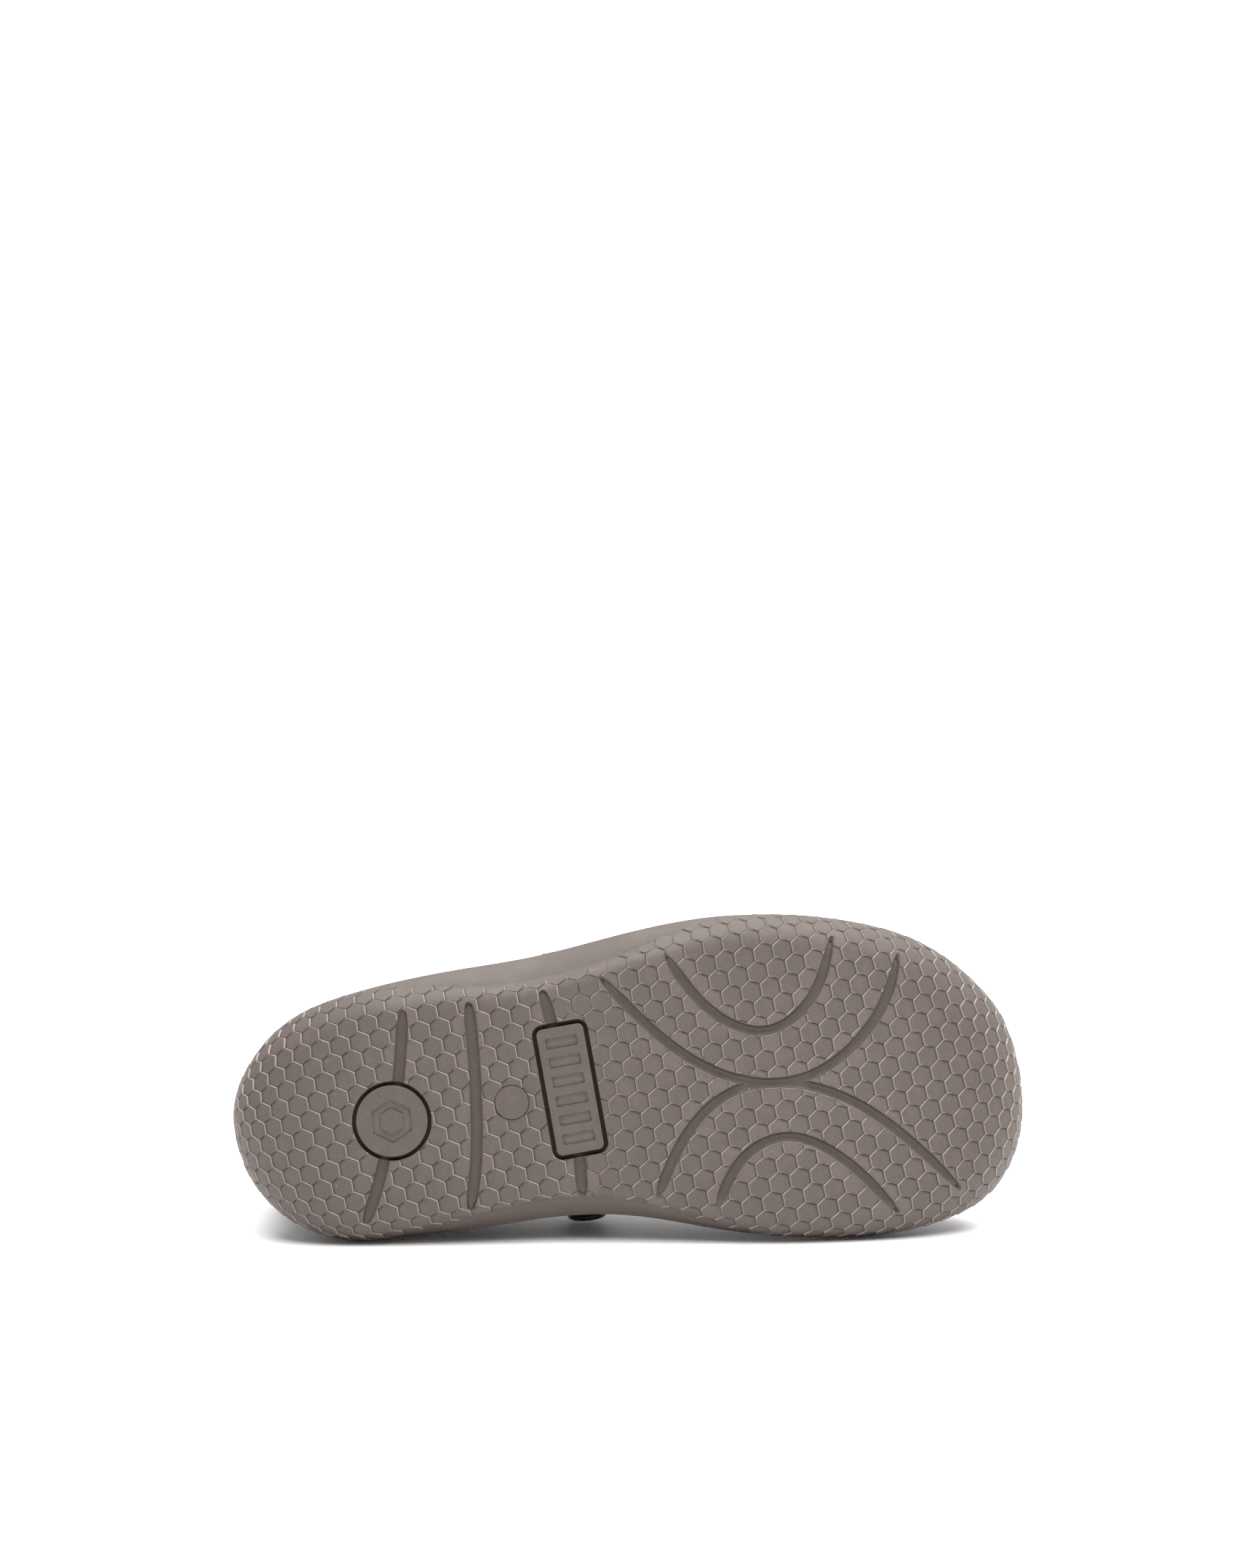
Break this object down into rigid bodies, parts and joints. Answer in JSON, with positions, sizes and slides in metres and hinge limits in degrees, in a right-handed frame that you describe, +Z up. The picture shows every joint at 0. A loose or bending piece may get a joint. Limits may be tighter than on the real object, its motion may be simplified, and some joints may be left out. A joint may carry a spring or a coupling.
{
  "type": "barefoot shoe",
  "caption": "Low child's barefoot shoe for the right foot: flexible moulded cup sole with grooved tread, round hollow upper, insole and instep strap with a stud. Lies on its inner side.",
  "frame": {"origin": "on the floor under the middle of the bounding box of the lying shoe", "axes": "+Z up from the floor, +X from heel to toe along the floor, +Y from the sole towards the collar"},
  "size_m": [0.1932, 0.0654, 0.0787],
  "materials": {
    "sole": "matt taupe rubber with a fine grain",
    "upper": "smooth taupe leather",
    "insole": "undyed tan leather",
    "strap": "smooth taupe leather",
    "strap_stud": "near-black satin enamel"
  },
  "bodies": {
    "root": {"sole": "sole", "upper": "upper", "insole": "insole", "strap": "strap", "strap_stud": "strap_stud"}
  },
  "joints": []
}
